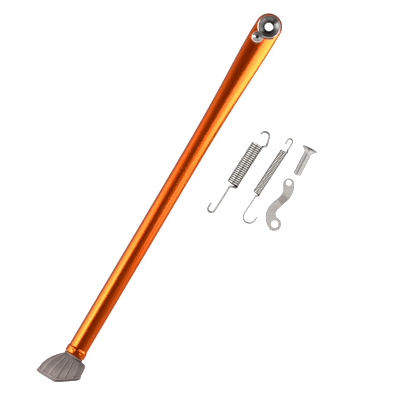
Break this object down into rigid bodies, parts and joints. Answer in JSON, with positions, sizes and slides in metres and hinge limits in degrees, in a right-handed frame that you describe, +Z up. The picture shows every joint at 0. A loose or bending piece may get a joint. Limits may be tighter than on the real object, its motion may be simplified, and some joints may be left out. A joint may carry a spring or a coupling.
{
  "type": "motorcycle kickstand",
  "caption": "Side stand kit laid out on a bench: tapered tube leg with fluted foot, pivot bush and spring post, with its nested return springs, spring link and countersunk pivot bolt.",
  "frame": {"origin": "middle of the kit's footprint, on the bench", "axes": "+Z up off the bench and along the leg's pivot, +X along the leg from the foot to the head"},
  "size_m": [0.4282, 0.1378, 0.0372],
  "materials": {
    "anodised_leg": "bright orange anodised, drawn and polished along the leg",
    "cast_foot": "investment cast, bead blasted, fine grain",
    "turned_steel": "bright turned stainless",
    "spring_wire": "drawn stainless wire",
    "link_plate": "satin, tumbled after stamping"
  },
  "bodies": {
    "bush": {"pivot_bush": "turned_steel"},
    "leg": {"leg": "anodised_leg", "foot": "cast_foot", "spring_post": "turned_steel"},
    "outer_spring": {"outer_spring_coil": "spring_wire", "outer_spring_bottom_hook": "spring_wire"},
    "outer_spring_end": {"outer_spring_top_hook": "spring_wire"},
    "inner_spring": {"inner_spring_coil": "spring_wire", "inner_spring_bottom_hook": "spring_wire"},
    "inner_spring_end": {"inner_spring_top_hook": "spring_wire"},
    "link": {"spring_link": "link_plate"},
    "bolt": {"pivot_bolt": "turned_steel"}
  },
  "joints": [
    {"name": "leg_swing", "type": "hinge", "parent": "bush", "child": "leg", "pos_m": [0.20042, 0.04335, 0.011], "axis": [0, 0, -1], "range_deg": [0, 105]},
    {"name": "outer_spring_lift", "type": "slide", "parent": "bush", "child": "outer_spring", "axis": [0, 0, 1], "range_m": [0, 0.06]},
    {"name": "inner_spring_lift", "type": "slide", "parent": "bush", "child": "inner_spring", "axis": [0, 0, 1], "range_m": [0, 0.06]},
    {"name": "outer_spring_stretch", "type": "slide", "parent": "outer_spring", "child": "outer_spring_end", "axis": [0.9993, -0.0366, 0], "range_m": [0, 0.03], "stiffness_N_per_m": 2500, "deforming": ["outer_spring_coil"]},
    {"name": "inner_spring_stretch", "type": "slide", "parent": "inner_spring", "child": "inner_spring_end", "axis": [0.9988, -0.0489, 0], "range_m": [0, 0.03], "stiffness_N_per_m": 1500, "deforming": ["inner_spring_coil"]},
    {"name": "link_lift", "type": "slide", "parent": "bush", "child": "link", "axis": [0, 0, 1], "range_m": [0, 0.06]},
    {"name": "bolt_lift", "type": "slide", "parent": "bush", "child": "bolt", "axis": [0, 0, 1], "range_m": [0, 0.06]}
  ]
}
